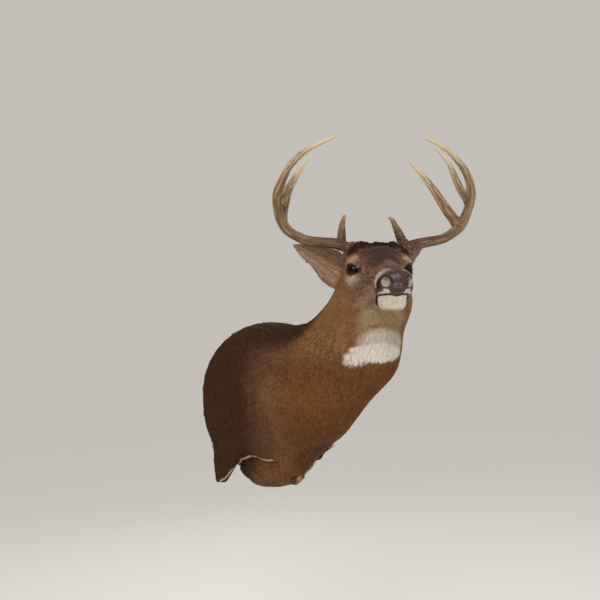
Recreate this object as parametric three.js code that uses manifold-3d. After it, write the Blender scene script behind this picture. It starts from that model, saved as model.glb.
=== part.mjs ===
// A whitetail buck's shoulder mount, life size, hung on a wall by its flat back.
// Millimetres. The origin is the middle of the board's back face, which lies on the wall.
// +X is the deer's left, +Y goes into the wall and +Z is up.

import * as THREE from 'three';
import { mergeVertices } from 'three/addons/utils/BufferGeometryUtils.js';
import Module from 'manifold-3d';

const wasm = await Module();
wasm.setup();

// ---------------------------------------------------------------- driving dimensions

const GAP = 0.3;                       // between pieces that touch
const RIM = 1.5;                       // how far the hide's edge stands off the wall

// Shoulders, to the tips of the coat
const SHOULDER_HALF_WIDTH = 182;
const SHOULDER_MIDDLE = 27;            // height of the widest part
const SHOULDER_HALF_HEIGHT = 172;
const SHOULDER_DEPTH = 264;            // how far the ovoid of the chest reaches from the wall
const FRONT_FROM = 0.25;               // where the underside begins to round, as a part of the depth
const FRONT_OVER = 0.45;               // and how much of the depth it takes
const FRONT_SQUARE = 1.9;              // the power of its curve from there on, where 2 is round
const BRISKET = { x: -13, y: -30, z: -116, wide: 81, deep: 150, high: 93 };
const LOBE = { in: 18, top: -50, root: 40, end: 13, reach: 140, sides: 14, steps: 6 };
const LOBE_TIP = { left: { x: 122, z: -166 }, right: { x: 141, z: -187 } };

// Neck, along a line from the chest to behind the jaw
const CHEST = { at: new THREE.Vector3(44, -128, 27), radius: 136 };
const MID_NECK = { at: new THREE.Vector3(124, -214, 122), radius: 109 };
const TOP_NECK = { at: new THREE.Vector3(172, -242, 238), radius: 86 };

// Head: a frame of its own, its origin midway between the eyes, y to the nose and z up
const EYES_MIDWAY = new THREE.Vector3(133, -332, 294);
const HEAD_TURN = 24.5;                // degrees to the deer's right
const HEAD_DROP = 2.7;                 // degrees, of the line that the head's parts are set out on
const HEAD_LEAN = 2.2;                 // degrees, left ear down

const EYE = { x: 56.5, y: -6.5, z: 0, radius: 18, sides: 12, rings: 9 };
const NOSE = { y: 178, z: -35, wide: 33, deep: 22, high: 25 };
const CHIN = { y: 150, z: -75, wide: 27, deep: 25, high: 19 };
const MOUTH = { front: -61.5, corner: -66, cornerAt: 118, backAt: 48, slope: 14 };
const HEAD_LINE = { back: { y: -128, z: -8 }, tip: { y: 199, z: -40 }, sides: 28, steps: 24 };

const EAR = { length: 158, root: 14, width: 90, thick: 6, cup: 20, curl: 10, sides: 14, steps: 10 };
const EAR_WIDEST = 0.36;               // where the ear begins to narrow, as a part of its length

// Antlers: one beam with a brow tine and two more tines on each side
const BURR = { radius: 20, high: 9, sides: 10, rings: 5 };
const BEAM = { root: 13, middle: 10.5, middleAt: 0.55, tip: 3, taper: 1.3, sides: 10, steps: 26 };
const TINE = { taper: 1.7, sides: 8, steps: 7 };
const BROW = { root: 11, tip: 2 };
const SECOND = { left: { root: 12.5, tip: 3 }, right: { root: 9, tip: 2.5 } };
const THIRD = { root: 9.5, tip: 2.5 };

const BOARD = { halfWidth: 138, halfHeight: 152, middle: 22, thick: 18, segments: 26 };
const HANGER = { wide: 76, high: 20, thick: 1.6, pocket: 3, room: 4, teeth: 9, tooth: 5, at: 96 };

// ---------------------------------------------------------------- frames

const radians = THREE.MathUtils.degToRad;
const vector = (x, y, z) => new THREE.Vector3(x, y, z);

// The head faces -Y in the row's frame before it is turned, so its own x is the row's x
const headFrame = new THREE.Matrix4().makeTranslation(EYES_MIDWAY)
  .multiply(new THREE.Matrix4().makeRotationZ(-radians(HEAD_TURN)))
  .multiply(new THREE.Matrix4().makeRotationX(radians(HEAD_DROP)))
  .multiply(new THREE.Matrix4().makeRotationY(radians(HEAD_LEAN)))
  .multiply(new THREE.Matrix4().makeScale(1, -1, 1));
const rowToHead = headFrame.clone().invert();
const fromHead = (x, y, z) => vector(x, y, z).applyMatrix4(headFrame);

// ---------------------------------------------------------------- the flesh as one field

// Each shape gives a rough distance in millimetres from a point to its surface, negative inside
function ellipsoid(x, y, z, wide, deep, high) {
  return (p) => {
    const a = (p.x - x) / wide, b = (p.y - y) / deep, c = (p.z - z) / high;
    const near = Math.hypot(a, b, c);
    const slope = Math.hypot(a / wide, b / deep, c / high);
    return slope < 1e-9 ? -Math.min(wide, deep, high) : near * (near - 1) / slope;
  };
}

// An ovoid with a round top, and an underside that is square at the wall and rounder in front
function barrel(x, y, z, wide, deep, high) {
  return (p) => {
    const front = THREE.MathUtils.clamp((y - p.y) / deep - FRONT_FROM, 0, 1);
    const square = p.z > z ? 2 : THREE.MathUtils.lerp(3, FRONT_SQUARE, Math.min(front / FRONT_OVER, 1));
    const a = Math.abs((p.x - x) / wide), b = (p.y - y) / deep, c = Math.abs((p.z - z) / high);
    return (Math.hypot((a ** square + c ** square) ** (1 / square), b) - 1) * Math.min(wide, high);
  };
}

function cone(start, startRadius, end, endRadius) {
  const axis = end.clone().sub(start);
  return (p) => {
    const t = THREE.MathUtils.clamp(p.clone().sub(start).dot(axis) / axis.lengthSq(), 0, 1);
    const radius = THREE.MathUtils.lerp(startRadius, endRadius, t);
    return p.distanceTo(axis.clone().multiplyScalar(t).add(start)) - radius;
  };
}

function blended(a, b, width) {
  const h = Math.max(width - Math.abs(a - b), 0) / width;
  return Math.min(a, b) - h * h * width / 4;
}

// Shapes of the head, in its own frame; those at the side are used on both sides
const headShapes = [
  { shape: ellipsoid(0, -48, 2, 60, 78, 56), blend: 20 },                 // braincase
  { shape: ellipsoid(0, -4, 10, 47, 54, 38), blend: 22 },                 // forehead
  { shape: ellipsoid(39, -38, 33, 29, 34, 31), blend: 12 },               // foot of the antler
  { shape: ellipsoid(55, -18, 13, 25, 24, 21), blend: 12 },               // brow over the eye
  { shape: ellipsoid(50, -15, -15, 22, 22, 17), blend: 12 },              // below the eye
  { shape: ellipsoid(38, -20, -34, 26, 52, 32), blend: 20 },              // cheek
  { shape: ellipsoid(30, -50, -52, 32, 46, 42), blend: 22 },              // jaw muscle
  { shape: cone(vector(0, 18, -2), 40, vector(0, 160, -34), 28), blend: 26 },
  { shape: cone(vector(0, 30, -32), 38, vector(0, 150, -46), 27), blend: 20 },
  { shape: cone(vector(0, 0, -56), 33, vector(0, CHIN.y - 12, -70), 22), blend: 18 },
  { shape: ellipsoid(20, 152, -44, 17, 30, 20), blend: 12 },              // upper lip
  { shape: ellipsoid(0, NOSE.y, NOSE.z, NOSE.wide, NOSE.deep, NOSE.high), blend: 12 },
  { shape: ellipsoid(0, CHIN.y, CHIN.z, CHIN.wide, CHIN.deep, CHIN.high), blend: 8 },
];

// Shapes of the neck and shoulders, in the row's frame
const bodyShapes = [
  { shape: barrel(0, 0, SHOULDER_MIDDLE, SHOULDER_HALF_WIDTH, SHOULDER_DEPTH,
    SHOULDER_HALF_HEIGHT), blend: 40 },
  { shape: barrel(BRISKET.x, BRISKET.y, BRISKET.z, BRISKET.wide, BRISKET.deep, BRISKET.high), blend: 22 },
  { shape: cone(CHEST.at, CHEST.radius, MID_NECK.at, MID_NECK.radius), blend: 32 },
  { shape: cone(MID_NECK.at, MID_NECK.radius, TOP_NECK.at, TOP_NECK.radius), blend: 24 },
  { shape: cone(TOP_NECK.at, TOP_NECK.radius, fromHead(0, -62, -22), 62), blend: 30 },
];

function flesh(point) {
  const inHead = point.clone().applyMatrix4(rowToHead);
  inHead.x = Math.abs(inHead.x);
  let head = 1e4;
  for (const { shape, blend } of headShapes) head = blended(head, shape(inHead), blend);
  let body = 1e4;
  for (const { shape, blend } of bodyShapes) body = blended(body, shape(point), blend);
  return blended(head, body, 34);
}

// ---------------------------------------------------------------- making solids

// A closed cylinder with every vertex moved to place(angle, along, out): along runs from 0 to 1,
// and out is 1 on the side and 0 at the middle of either end
function shaped(sides, steps, place) {
  const geometry = new THREE.CylinderGeometry(1, 1, 1, sides, steps);
  const position = geometry.attributes.position;
  for (let i = 0; i < position.count; i += 1) {
    const x = position.getX(i), z = position.getZ(i);
    const moved = place(Math.atan2(x, z), position.getY(i) + 0.5, Math.round(Math.hypot(x, z)));
    position.setXYZ(i, moved.x, moved.y, moved.z);
  }
  return geometry;
}

function merged(geometry) {
  const bare = geometry.clone();
  bare.deleteAttribute('normal');
  bare.deleteAttribute('uv');
  return mergeVertices(bare, 1e-3);
}

function signedVolume(geometry) {
  const corner = [0, 1, 2].map(() => new THREE.Vector3());
  const { position } = geometry.attributes;
  let sum = 0;
  for (let i = 0; i < geometry.index.count; i += 3) {
    corner.forEach((c, k) => c.fromBufferAttribute(position, geometry.index.getX(i + k)));
    sum += corner[0].dot(corner[1].cross(corner[2]));
  }
  return sum / 6;
}

function solid(geometry) {
  const closed = merged(geometry);
  const triVerts = Uint32Array.from(closed.index.array);
  if (signedVolume(closed) < 0) triVerts.reverse();
  const vertProperties = Float32Array.from(closed.attributes.position.array);
  return new wasm.Manifold(new wasm.Mesh({ numProp: 3, vertProperties, triVerts }));
}

function geometryOf(manifold) {
  const mesh = manifold.getMesh();
  const geometry = new THREE.BufferGeometry();
  geometry.setAttribute('position', new THREE.BufferAttribute(Float32Array.from(mesh.vertProperties), 3));
  geometry.setIndex(new THREE.BufferAttribute(Uint32Array.from(mesh.triVerts), 1));
  geometry.computeVertexNormals();
  return geometry;
}

// Everything on the side of a plane that its normal points to
function beyond(point, normal, offset) {
  const size = 1600;                   // more than the whole mount
  const block = new THREE.BoxGeometry(size, size, size);
  const turn = new THREE.Quaternion().setFromUnitVectors(vector(0, 0, 1), normal);
  const middle = normal.clone().multiplyScalar(size / 2 + offset).add(point);
  return solid(block.applyQuaternion(turn).translate(middle.x, middle.y, middle.z));
}

// How far the flesh reaches from a point inside it, along a unit direction
function reach(from, direction, furthest) {
  const stride = 4, halvings = 14;
  const leaves = (d) => flesh(direction.clone().multiplyScalar(d).add(from)) > 0;
  let outside = stride;
  while (outside < furthest && !leaves(outside)) outside += stride;
  let inside = outside - stride;
  for (let i = 0; i < halvings; i += 1) {
    const middle = (inside + outside) / 2;
    if (leaves(middle)) outside = middle;
    else inside = middle;
  }
  return inside;
}

// The flesh wrapped by rings round a straight line; spread(t) places the rings along it
function wrapped(start, end, sides, steps, spread, furthest) {
  const axis = end.clone().sub(start).normalize();
  const turn = new THREE.Quaternion().setFromUnitVectors(vector(0, 0, 1), axis);
  return shaped(sides, steps, (angle, along, out) => {
    const middle = start.clone().lerp(end, spread(along));
    if (!out) return middle;
    const direction = vector(Math.cos(angle), Math.sin(angle), 0).applyQuaternion(turn);
    return direction.clone().multiplyScalar(reach(middle, direction, furthest)).add(middle);
  });
}

// A tapering rod along a smooth curve, with a radius for each place along it
function rod(curve, sides, steps, radiusAt) {
  const frames = curve.computeFrenetFrames(steps, false);
  return shaped(sides, steps, (angle, along, out) => {
    const i = Math.round(along * steps);
    const middle = curve.getPointAt(along);
    if (!out) return middle;
    return middle.addScaledVector(frames.normals[i], Math.cos(angle) * radiusAt(along))
      .addScaledVector(frames.binormals[i], Math.sin(angle) * radiusAt(along));
  });
}

// ---------------------------------------------------------------- materials

const material = (color, roughness, metalness = 0) =>
  new THREE.MeshStandardMaterial({ color, roughness, metalness });
const hide = () => material(0x6b4a2e, 0.9);
const bone = () => material(0x9c7a55, 0.6);

const mount = new THREE.Group();
const add = (name, shape, finish) => {
  const mesh = new THREE.Mesh(shape.getMesh ? geometryOf(shape) : shape, finish);
  mesh.name = name;
  mount.add(mesh);
};

// ---------------------------------------------------------------- antlers

// Places in the head's frame for the deer's left; side -1 mirrors them
const beamPoints = {
  left: [[48, -34, 28], [60, -40, 48], [94, -60, 63], [134, -85, 73], [176, -100, 84],
    [213, -104, 111], [227, -88, 143], [228, -60, 176], [216, -30, 204], [191, 2, 230],
    [153, 30, 257], [122, 41, 273], [96, 46, 284]],
  right: [[48, -34, 28], [58, -40, 48], [88, -60, 65], [131, -85, 73], [166, -100, 82],
    [204, -104, 106], [223, -88, 141], [227, -60, 175], [217, -30, 203], [198, 5, 233],
    [168, 32, 256], [134, 42, 273], [100, 46, 287]],
};
const tinePoints = {
  left: {
    brow: [[66, -52, 64], [54, -46, 86], [45, -42, 104], [38, -44, 118], [27, -48, 128]],
    second: [[212, -103, 113], [188, -120, 154], [169, -148, 201], [145, -180, 252], [117, -208, 294]],
    third: [[227, -72, 166], [212, -88, 200], [200, -102, 240], [187, -114, 276], [162, -122, 308]],
  },
  right: {
    brow: [[80, -58, 62], [79, -50, 86], [78, -46, 106], [75, -44, 121], [70, -46, 135]],
    second: [[214, -103, 122], [207, -120, 164], [197, -148, 203], [181, -175, 239], [158, -196, 273]],
    third: [[223, -74, 162], [208, -84, 190], [191, -96, 219], [172, -104, 251], [152, -112, 279]],
  },
};
const SECOND_AT = 0.455;               // where the tines leave the beam, as a part of its length
const THIRD_AT = 0.60;
const FORK_SPREAD = 0.05;              // how far the beam's swelling at a fork runs along it
const BURR_AT = 0.055;
const LOW_CUT = 0.50;                  // where the beam is parted, past each of those tines
const HIGH_CUT = 0.66;

const curveOf = (points, side) =>
  new THREE.CatmullRomCurve3(points.map(([x, y, z]) => fromHead(side * x, y, z)));

function beamRadius(t) {
  const past = (t - BEAM.middleAt) / (1 - BEAM.middleAt);
  const taper = past < 0
    ? THREE.MathUtils.lerp(BEAM.root, BEAM.middle, t / BEAM.middleAt)
    : THREE.MathUtils.lerp(BEAM.middle, BEAM.tip, past ** BEAM.taper);
  const swell = (high, at) => high * Math.exp(-(((t - at) / FORK_SPREAD) ** 2));
  return taper + swell(2.5, SECOND_AT) + swell(2, THIRD_AT);
}

function tine(points, side, root, tip) {
  const radiusAt = (t) => THREE.MathUtils.lerp(root, tip, t ** TINE.taper);
  return solid(rod(curveOf(points, side), TINE.sides, TINE.steps, radiusAt));
}

function antler(side, name) {
  const curve = curveOf(beamPoints[name], side);
  const points = tinePoints[name];
  const plain = solid(rod(curve, BEAM.sides, BEAM.steps, beamRadius));
  const grown = solid(rod(curve, BEAM.sides, BEAM.steps, (t) => beamRadius(t) + GAP));
  const split = (t) => ({ at: curve.getPointAt(t), along: curve.getTangentAt(t) });
  const low = split(LOW_CUT);
  const high = split(HIGH_CUT);
  const past = (cut, sign) => beyond(cut.at, cut.along.clone().multiplyScalar(sign), GAP / 2);

  // The burr is a low knobbly ring round the foot of the beam
  const foot = curve.getPointAt(BURR_AT);
  const ring = new THREE.SphereGeometry(1, BURR.sides, BURR.rings);
  const turn = new THREE.Quaternion().setFromUnitVectors(vector(0, 1, 0), curve.getTangentAt(BURR_AT));
  ring.scale(BURR.radius, BURR.high, BURR.radius).applyQuaternion(turn).translate(foot.x, foot.y, foot.z);
  const burr = solid(ring);

  const wider = 1 + GAP / BURR.high;
  ring.translate(-foot.x, -foot.y, -foot.z).scale(wider, wider, wider).translate(foot.x, foot.y, foot.z);
  const room = grown.add(solid(ring));

  const base = plain.add(burr).intersect(past(low, -1));
  add(`antler_${name}_base`, base, bone());
  add(`antler_${name}_middle`, plain.intersect(past(low, 1)).intersect(past(high, -1)), bone());
  add(`antler_${name}_tip`, plain.intersect(past(high, 1)), bone());
  for (const [which, { root, tip }] of Object.entries({ brow: BROW, second: SECOND[name], third: THIRD })) {
    add(`antler_${name}_${which}_tine`, tine(points[which], side, root, tip).subtract(room), bone());
  }
  return room;
}

const antlerRoots = [antler(1, 'left'), antler(-1, 'right')];

// ---------------------------------------------------------------- ears

// A leaf along root -> tip, cupped towards its opening, rolled in at the root and bowed along its
// length; extra makes it thicker all round
function ear(side, root, tip, opening, extra) {
  const start = fromHead(side * root[0], root[1], root[2]);
  const end = fromHead(side * tip[0], tip[1], tip[2]);
  const along = end.clone().sub(start).normalize();
  const face = fromHead(side * opening[0], opening[1], opening[2]).sub(EYES_MIDWAY);
  face.addScaledVector(along, -face.dot(along)).normalize();
  const across = along.clone().cross(face);
  const half = EAR.width / 2, edge = 1;
  return solid(shaped(EAR.sides, EAR.steps, (angle, t, out) => {
    const narrowing = Math.max(0, (t - EAR_WIDEST) / (1 - EAR_WIDEST));
    const taper = (1 - narrowing ** 1.9) ** 0.8;
    const belly = 0.72 + 0.28 * Math.sin(Math.PI * Math.min(t / 0.6, 1));
    const width = half * belly * taper + edge + extra;
    const thick = EAR.thick / 2 * (1.9 - 1.2 * t) + extra;
    const sideways = out ? Math.cos(angle) : 0;
    const bulge = out ? Math.sin(angle) * Math.sqrt(1 - 0.45 * sideways ** 2) : 0;
    const cup = EAR.cup * (1.25 - 0.9 * t) * sideways ** 2 * width / half;
    const bow = EAR.curl * (Math.sin(Math.PI * t) - 0.6 * t);
    return start.clone().addScaledVector(along, -EAR.root + t * (EAR.length + EAR.root))
      .addScaledVector(across, sideways * width)
      .addScaledVector(face, bulge * thick + cup - bow);
  }));
}

// The right ear stands out to the side, and the left one is laid back along the neck
const ears = {
  ear_right: [-1, [60, -66, -9], [189, -121, 72], [0.30, 0.86, -0.36]],
  ear_left: [1, [66, -62, 20], [146, -200, 84], [0.84, 0.34, -0.30]],
};
for (const [name, place] of Object.entries(ears)) {
  add(name, ear(...place, 0).subtract(antlerRoots[place[0] > 0 ? 0 : 1]), hide());
}

// ---------------------------------------------------------------- eyes

function eyeball(side, radius) {
  const middle = fromHead(side * EYE.x, EYE.y, EYE.z);
  return new THREE.SphereGeometry(radius, EYE.sides, EYE.rings).translate(middle.x, middle.y, middle.z);
}
for (const [name, side] of [['left', 1], ['right', -1]]) {
  add(`eye_${name}`, solid(eyeball(side, EYE.radius)), material(0x1a0f08, 0.08));
}

// ---------------------------------------------------------------- head and lower jaw

const evenly = (t) => t;
const bunched = (t) => 1 - (1 - t) ** 1.35;            // rings closer together towards the nose

const headBack = fromHead(0, HEAD_LINE.back.y, HEAD_LINE.back.z);
const noseTip = fromHead(0, HEAD_LINE.tip.y, HEAD_LINE.tip.z);
let head = solid(wrapped(headBack, noseTip, HEAD_LINE.sides, HEAD_LINE.steps, bunched, 260));
const nape = {
  at: fromHead(0, -100, 0),
  across: fromHead(0, -0.75, -0.66).sub(EYES_MIDWAY).normalize(),
};
head = head.subtract(beyond(nape.at, nape.across, -GAP / 2));

for (const root of antlerRoots) head = head.subtract(root);
for (const place of Object.values(ears)) head = head.subtract(ear(...place, GAP));
for (const side of [1, -1]) head = head.subtract(solid(eyeball(side, EYE.radius + GAP)));

// The jaw parts from the head along the mouth and, behind its corner, along the cheek
function jawBlock(grow) {
  const pastNose = 230, belowChin = -160, wide = 160;
  const outline = new THREE.Shape();
  outline.moveTo(pastNose, MOUTH.front + grow).lineTo(MOUTH.cornerAt, MOUTH.corner + grow);
  outline.lineTo(MOUTH.backAt, MOUTH.corner + grow).lineTo(MOUTH.backAt - MOUTH.slope, belowChin);
  outline.lineTo(pastNose, belowChin).closePath();
  const block = new THREE.ExtrudeGeometry(outline, { depth: wide, bevelEnabled: false });
  const stand = new THREE.Matrix4().makeBasis(vector(0, 1, 0), vector(0, 0, 1), vector(1, 0, 0));
  block.applyMatrix4(stand).translate(-wide / 2, 0, 0).applyMatrix4(headFrame);
  return solid(block);
}
add('head', head.subtract(jawBlock(GAP)), hide());

// ---------------------------------------------------------------- neck, in two lengths

const neckStart = vector(20, -128, -26);
const neckEnd = fromHead(0, -86, 30);
const neck = solid(wrapped(neckStart, neckEnd, 30, 18, evenly, 420));
const halfway = {
  at: neckStart.clone().lerp(neckEnd, 0.53),
  across: neckEnd.clone().sub(neckStart).normalize(),
};
const collar = { at: vector(20, -190, 60), across: vector(0.25, -0.83, 0.50).normalize() };

let upperNeck = neck.intersect(beyond(halfway.at, halfway.across, GAP / 2));
upperNeck = upperNeck.intersect(beyond(nape.at, nape.across, GAP / 2));
for (const place of Object.values(ears)) upperNeck = upperNeck.subtract(ear(...place, GAP));
add('neck_upper', upperNeck, hide());
add('lower_jaw', head.intersect(jawBlock(0)), hide());

const lowerNeck = neck.subtract(beyond(halfway.at, halfway.across, -GAP / 2))
  .intersect(beyond(collar.at, collar.across, GAP / 2));
add('neck_lower', lowerNeck, hide());

// ---------------------------------------------------------------- board and hanger

function boardOutline(grow) {
  const outline = new THREE.Shape();
  outline.absellipse(0, 0, BOARD.halfWidth + grow, BOARD.halfHeight + grow, 0, 2 * Math.PI);
  const slab = new THREE.ExtrudeGeometry(outline, {
    depth: BOARD.thick + grow,
    bevelEnabled: false,
    curveSegments: BOARD.segments,
  });
  return solid(slab.rotateX(Math.PI / 2).translate(0, 0, BOARD.middle));
}

function hangerStrip(grow, thick) {
  const half = HANGER.wide / 2 + grow, high = HANGER.high / 2 + grow;
  const outline = new THREE.Shape();
  outline.moveTo(-half, high).lineTo(-half, -high);
  if (!grow) {
    const first = -HANGER.teeth * HANGER.tooth / 2;
    for (let i = 0; i < HANGER.teeth; i += 1) {
      outline.lineTo(first + i * HANGER.tooth, -high);
      outline.lineTo(first + (i + 0.5) * HANGER.tooth, -high + HANGER.tooth * 0.7);
    }
    outline.lineTo(-first, -high);
  }
  outline.lineTo(half, -high).lineTo(half, high).closePath();
  const strip = new THREE.ExtrudeGeometry(outline, { depth: thick, bevelEnabled: false });
  return strip.rotateX(Math.PI / 2).translate(0, 0, HANGER.at);
}

const pocket = solid(hangerStrip(HANGER.room, HANGER.pocket).translate(0, GAP, 0));
add('backboard', boardOutline(0).subtract(pocket), material(0xb08d5b, 0.75));
const sunk = HANGER.thick + GAP - HANGER.pocket;
add('hanger', solid(hangerStrip(0, HANGER.thick).translate(0, sunk, 0)), material(0x9a9a98, 0.35, 0.9));

// ---------------------------------------------------------------- shoulders

// Where the foreleg was cut away, the hide hangs to a point against the wall on either side
function lobe(side, end) {
  const top = vector(side * (end.x - LOBE.in), 0, LOBE.top);
  const tip = vector(side * end.x, 0, end.z);
  return solid(shaped(LOBE.sides, LOBE.steps, (angle, along, out) => {
    const middle = top.clone().lerp(tip, along);
    const radius = THREE.MathUtils.lerp(LOBE.root, LOBE.end, along ** 1.1);
    const depth = THREE.MathUtils.lerp(LOBE.reach, LOBE.end, along ** 1.5);
    if (!out) return middle;
    return middle.add(vector(Math.cos(angle) * radius, Math.sin(angle) * depth, 0));
  }));
}

const roundedOff = (t) => Math.sin(t * Math.PI / 2) ** 0.95;   // rings closer together at the front
let trunk = solid(wrapped(vector(0, 40, 0), vector(24, -292, -16), 38, 20, roundedOff, 520));
trunk = trunk.add(lobe(1, LOBE_TIP.left)).add(lobe(-1, LOBE_TIP.right));
trunk = trunk.subtract(beyond(vector(0, 0, 0), vector(0, 1, 0), -RIM));
trunk = trunk.subtract(beyond(collar.at, collar.across, -GAP / 2)).subtract(boardOutline(GAP));
add('shoulders', trunk, hide());

export default mount;
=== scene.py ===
from math import cos, pi, radians, sin

import bmesh
import bpy
import numpy as np
from mathutils import Matrix, Vector, noise
from mathutils.bvhtree import BVHTree
from mathutils.kdtree import KDTree


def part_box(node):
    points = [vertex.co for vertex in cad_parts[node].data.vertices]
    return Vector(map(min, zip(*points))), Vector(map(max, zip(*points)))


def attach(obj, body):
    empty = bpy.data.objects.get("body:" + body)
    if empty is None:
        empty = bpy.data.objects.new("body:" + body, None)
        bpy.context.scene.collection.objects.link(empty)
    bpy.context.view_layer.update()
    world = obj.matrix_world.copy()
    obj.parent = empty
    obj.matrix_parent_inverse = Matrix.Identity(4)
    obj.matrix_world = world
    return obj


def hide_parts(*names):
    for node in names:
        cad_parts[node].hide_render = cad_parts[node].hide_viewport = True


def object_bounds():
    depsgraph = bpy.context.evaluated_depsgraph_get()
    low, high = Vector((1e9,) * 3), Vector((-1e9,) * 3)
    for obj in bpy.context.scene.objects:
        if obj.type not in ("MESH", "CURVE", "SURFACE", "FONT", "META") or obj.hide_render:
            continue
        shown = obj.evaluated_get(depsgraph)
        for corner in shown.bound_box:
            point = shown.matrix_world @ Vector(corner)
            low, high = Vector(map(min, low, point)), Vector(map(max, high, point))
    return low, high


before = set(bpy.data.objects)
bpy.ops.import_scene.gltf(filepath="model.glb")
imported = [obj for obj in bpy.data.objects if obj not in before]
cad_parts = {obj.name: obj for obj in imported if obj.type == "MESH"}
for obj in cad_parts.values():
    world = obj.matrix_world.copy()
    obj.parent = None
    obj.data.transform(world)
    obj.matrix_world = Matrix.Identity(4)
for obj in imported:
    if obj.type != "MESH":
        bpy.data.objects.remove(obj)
cad_box = [list(corner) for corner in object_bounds()]


# ---------------------------------------------------------------- the backboard
# An oval cut from 18 mm pine plywood. It is screwed to the form inside the hide's turned edge,
# and its flat back lies on the wall.

class Paint:
    """One output of a material's nodes; a sum written with it becomes Math nodes."""

    def __init__(self, tree, socket=None):
        self.tree = tree
        self.socket = socket

    def node(self, kind, settings=None, inputs=None, out=0):
        """Adds one node: its settings come first, then what its sockets hold."""
        made = self.tree.nodes.new("ShaderNode" + kind)
        for name, value in (settings or {}).items():
            setattr(made, name, value)
        for name, value in (inputs or {}).items():
            if isinstance(value, Paint):
                self.tree.links.new(value.socket, made.inputs[name])
            else:
                made.inputs[name].default_value = value
        return Paint(self.tree, made.outputs[out])

    def maths(self, operation, *values):
        return self.node("Math", {"operation": operation}, dict(enumerate(values)))

    def vector(self, operation, *others, out=0):
        return self.node("VectorMath", {"operation": operation}, dict(enumerate((self, *others))), out)

    def __add__(self, other):
        return self.maths("ADD", self, other)

    def __sub__(self, other):
        return self.maths("SUBTRACT", self, other)

    def __rsub__(self, other):
        return self.maths("SUBTRACT", other, self)

    def __mul__(self, other):
        return self.maths("MULTIPLY", self, other)

    def __or__(self, other):
        return self.maths("MAXIMUM", self, other)

    __radd__ = __add__
    __rmul__ = __mul__

    def rising(self, low, high):
        """0 below low and 1 above high, with a soft step between; low may be the greater."""
        return self.node("MapRange", {"interpolation_type": "SMOOTHSTEP"},
                         {"Value": self, "From Min": low, "From Max": high})

    def stretched(self, *scales):
        """This place with its three parts scaled, for marks that are longer one way."""
        return self.vector("MULTIPLY", scales)

    def far_from(self, middle, size):
        """How far this place lies from a middle, where 1 is on the ellipsoid of that size."""
        return self.vector("SUBTRACT", middle).vector("DIVIDE", size).vector("LENGTH", out=1)

    def grain(self, scale, detail, rough=0.6, out=0):
        """Noise over this place: one value about 0.5, or with out=1 three of them."""
        return self.node("TexNoise", {}, {"Vector": self, "Scale": scale, "Detail": detail,
                                          "Roughness": rough}, out)

    def mixed(self, below, above):
        """One tone where this is 0 and another where it is 1; each may be six hex digits."""
        below, above = (colour(tone) if isinstance(tone, str) else tone for tone in (below, above))
        return self.node("Mix", {"data_type": "RGBA"}, {0: self, 6: below, 7: above}, 2)

    def times(self, factor):
        """This colour or place with all its parts times one factor."""
        return self.node("VectorMath", {"operation": "SCALE"}, {0: self, "Scale": factor})

    def part(self, axis):
        return self.node("SeparateXYZ", {}, {0: self}, axis)

    def attribute(self, name, out="Fac"):
        return self.node("Attribute", {"attribute_name": name}, out=out)

    def bump(self, height, depth, strength=1.0):
        """A normal for a surface raised by height times depth, in metres."""
        return self.node("Bump", {}, {"Strength": strength, "Distance": depth, "Height": height})


def colour(code):
    """A display colour written as six hex digits, as the shader's own linear colour."""
    parts = [int(code[i:i + 2], 16) / 255 for i in (0, 2, 4)]
    return (*(c / 12.92 if c <= 0.04045 else ((c + 0.055) / 1.055) ** 2.4 for c in parts), 1)


def new_material(name, **constants):
    """A material with these constants on its shader, the paper to paint it on, and its feed."""
    made = bpy.data.materials.new(name)
    made.use_nodes = True
    shader = made.node_tree.nodes["Principled BSDF"]
    for socket, value in constants.items():
        shader.inputs[socket.replace("_", " ")].default_value = value

    def feed(**paints):
        for socket, paint in paints.items():
            made.node_tree.links.new(paint.socket, shader.inputs[socket.replace("_", " ")])

    return made, Paint(made.node_tree), feed


def dress(piece, material):
    piece.data.materials.clear()
    piece.data.materials.append(material)


def plywood():
    made, paper, feed = new_material("plywood", Specular_IOR_Level=0.3)
    place = paper.node("TexCoord", out="Object")
    grain_way = place.stretched(60.0, 60.0, 4.0)
    rings = paper.maths("SINE", grain_way.grain(0.9, 4) * 60) * 0.5 + 0.5
    fibre = place.stretched(900.0, 900.0, 30.0).grain(1.0, 2)
    tone = rings.mixed("c9a571", "a97c49")
    tone = (fibre * 0.35).mixed(tone, "8a6038")
    plies = paper.maths("SINE", place.part(1) * 2100).rising(0, 0.4)
    feed(Base_Color=(plies * 0.12).mixed(tone, "7c5733"),
         Roughness=fibre * 0.3 + 0.55,
         Normal=paper.bump(rings * 0.3 + fibre, 0.0004))
    return made


dress(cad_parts["backboard"], plywood())


# ---------------------------------------------------------------- the hanger
# A stamped strip of zinc-plated steel with a row of teeth along its lower edge, let into the back
# of the board; the mount hangs by it on a nail.

def plated_steel():
    made, paper, feed = new_material("plated_steel", Metallic=1.0)
    place = paper.node("TexCoord", out="Object")
    brushed = place.stretched(80.0, 900.0, 1600.0).grain(1.0, 3)
    blotch = place.grain(90.0, 4)
    feed(Base_Color=blotch.mixed("b9babb", "8d8f92"),
         Roughness=brushed * 0.25 + 0.25,
         Normal=paper.bump(brushed, 0.0001))
    return made


dress(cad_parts["hanger"], plated_steel())


# ---------------------------------------------------------------- the hide
# One tanned deer skin drawn over a foam form, from the nose to the wall. It follows the packed
# solids, and lies inside them by the depth of the coat that grows on it.

mm = 0.001
eye_middles = [(low + high) / 2 for low, high in (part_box("eye_left"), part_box("eye_right"))]
eye_radius = (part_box("eye_left")[1].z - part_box("eye_left")[0].z) / 2
head_middle = np.array((eye_middles[0] + eye_middles[1]) / 2)

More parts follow.
